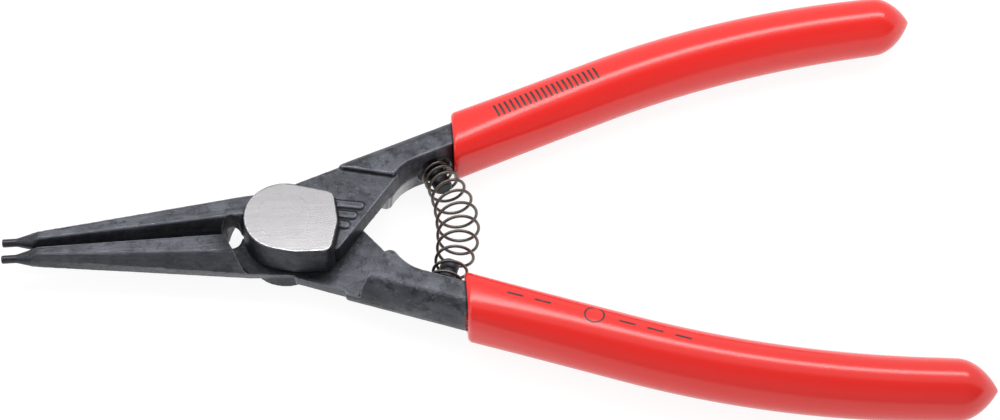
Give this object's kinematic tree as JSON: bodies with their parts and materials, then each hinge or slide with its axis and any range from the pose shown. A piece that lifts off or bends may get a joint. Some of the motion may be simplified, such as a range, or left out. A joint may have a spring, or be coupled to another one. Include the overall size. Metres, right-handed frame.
{
  "type": "circlip pliers",
  "caption": "Hand pliers for outer retaining rings: lapped limbs on a flush rivet, round tip pins, a barrel return spring and dipped grips; squeezing spreads the tips.",
  "frame": {"origin": "on the rivet axis, in the lower boss face that the tool lies on", "axes": "+X from the tips to the grips along the long axis, +Y across to the upper grip, +Z along the rivet axis out of the upper boss face"},
  "size_m": [0.1797, 0.0954, 0.0129],
  "materials": {
    "limb": "dark grey phosphated forged steel, satin",
    "rivet": "ground flush",
    "spring": "dark spring wire",
    "peg": "dark, satin",
    "grip": "soft dipped plastic, glossy red"
  },
  "bodies": {
    "lower_half": {"lower_limb": "limb", "lower_grip": "grip", "lower_spring_peg": "peg", "pivot_rivet": "rivet", "return_spring": "spring"},
    "upper_half": {"upper_limb": "limb", "upper_grip": "grip", "upper_spring_peg": "peg"}
  },
  "joints": [
    {"name": "handle_pivot", "type": "hinge", "parent": "lower_half", "child": "upper_half", "pos_m": [0, 0, 0.00645], "axis": [0, 0, -1], "range_deg": [0, 26], "stiffness_Nm_per_rad": 0.8, "springref_deg": -20.05, "deforming": ["return_spring"]}
  ]
}
